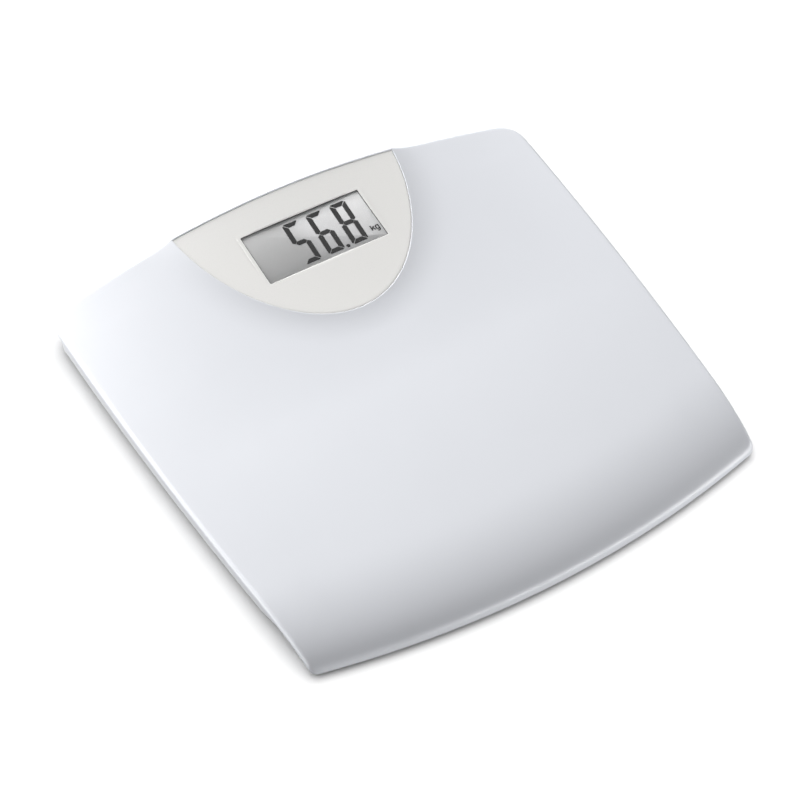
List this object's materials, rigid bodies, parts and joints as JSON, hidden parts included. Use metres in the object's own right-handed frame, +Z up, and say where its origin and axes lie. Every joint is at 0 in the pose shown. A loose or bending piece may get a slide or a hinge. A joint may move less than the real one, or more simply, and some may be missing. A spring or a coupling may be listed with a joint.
{
  "type": "digital bathroom scale",
  "caption": "Low white bathroom scale with bowed sides, a rolled front edge and a display in a D-shaped panel on a domed pod at the back.",
  "frame": {"origin": "middle of the footprint, on the floor under the four rubber pads", "axes": "+Z up, -Y towards the user's side, +Y towards the display end, +X to the user's right"},
  "size_m": [0.3118, 0.3014, 0.0343],
  "materials": {
    "cover_abs": "fine satin moulded ABS",
    "tray_abs": "satin moulded ABS",
    "panel_abs": "smooth moulded ABS, slightly warmer than the cover",
    "lens": "clear moulded acrylic",
    "lcd": "liquid crystal glass, grey-green behind a clear lens",
    "holder": "black moulded plastic",
    "contact_rubber": "layered conductive rubber",
    "board": "solder-masked glass-fibre laminate",
    "epoxy": "black epoxy",
    "switch": "moulded nylon",
    "button": "satin grey ABS",
    "nickel": "nickel plate",
    "foot_pad_rubber": "grey moulded rubber",
    "foot_abs": "satin moulded ABS",
    "cell_steel": "stamped spring steel",
    "carrier_abs": "moulded ABS",
    "zinc_screw": "zinc-plated steel",
    "cable": "thin PVC sleeve over the wires"
  },
  "bodies": {
    "scale": {"top_cover": "cover_abs", "base_housing": "tray_abs", "display_bezel": "panel_abs", "display_lens": "lens", "lcd_glass": "lcd", "lcd_holder": "holder", "contact_strip_front": "contact_rubber", "contact_strip_rear": "contact_rubber", "main_board": "board", "button_board": "board", "processor_blob": "epoxy", "unit_switch": "switch", "coin_cell": "nickel", "battery_contact_leaf": "nickel", "battery_contact_side": "nickel", "load_cell_front_left": "cell_steel", "cell_carrier_front_left": "carrier_abs", "carrier_screw_front_left_outer": "zinc_screw", "carrier_screw_front_left_inner": "zinc_screw", "board_screw_front_left": "zinc_screw", "sensor_cable_front_left": "cable", "load_cell_front_right": "cell_steel", "cell_carrier_front_right": "carrier_abs", "carrier_screw_front_right_outer": "zinc_screw", "carrier_screw_front_right_inner": "zinc_screw", "board_screw_front_right": "zinc_screw", "sensor_cable_front_right": "cable", "load_cell_rear_left": "cell_steel", "cell_carrier_rear_left": "carrier_abs", "carrier_screw_rear_left_outer": "zinc_screw", "carrier_screw_rear_left_inner": "zinc_screw", "board_screw_rear_left": "zinc_screw", "sensor_cable_rear_left": "cable", "load_cell_rear_right": "cell_steel", "cell_carrier_rear_right": "carrier_abs", "carrier_screw_rear_right_outer": "zinc_screw", "carrier_screw_rear_right_inner": "zinc_screw", "board_screw_rear_right": "zinc_screw", "sensor_cable_rear_right": "cable", "battery_cable": "cable", "button_cable": "cable", "housing_screw_front_left": "zinc_screw", "housing_screw_middle_left": "zinc_screw", "housing_screw_rear_left": "zinc_screw", "housing_screw_front_right": "zinc_screw", "housing_screw_middle_right": "zinc_screw", "housing_screw_rear_right": "zinc_screw"},
    "foot_front_left": {"foot_front_left": "foot_abs", "foot_pad_front_left": "foot_pad_rubber"},
    "foot_front_right": {"foot_front_right": "foot_abs", "foot_pad_front_right": "foot_pad_rubber"},
    "foot_rear_left": {"foot_rear_left": "foot_abs", "foot_pad_rear_left": "foot_pad_rubber"},
    "foot_rear_right": {"foot_rear_right": "foot_abs", "foot_pad_rear_right": "foot_pad_rubber"},
    "unit_button": {"unit_button": "button"},
    "battery_door": {"battery_door": "tray_abs"}
  },
  "joints": [
    {"name": "foot_travel_front_left", "type": "slide", "parent": "scale", "child": "foot_front_left", "axis": [0, 0, 1], "range_m": [0, 0.0008], "stiffness_N_per_m": 30000},
    {"name": "foot_travel_front_right", "type": "slide", "parent": "scale", "child": "foot_front_right", "axis": [0, 0, 1], "range_m": [0, 0.0008], "stiffness_N_per_m": 30000},
    {"name": "foot_travel_rear_left", "type": "slide", "parent": "scale", "child": "foot_rear_left", "axis": [0, 0, 1], "range_m": [0, 0.0008], "stiffness_N_per_m": 30000},
    {"name": "foot_travel_rear_right", "type": "slide", "parent": "scale", "child": "foot_rear_right", "axis": [0, 0, 1], "range_m": [0, 0.0008], "stiffness_N_per_m": 30000},
    {"name": "unit_button_press", "type": "slide", "parent": "scale", "child": "unit_button", "axis": [0, 0, 1], "range_m": [0, 0.001], "stiffness_N_per_m": 1200},
    {"name": "battery_door_slide", "type": "slide", "parent": "scale", "child": "battery_door", "axis": [0, -1, 0], "range_m": [0, 0.008]}
  ]
}
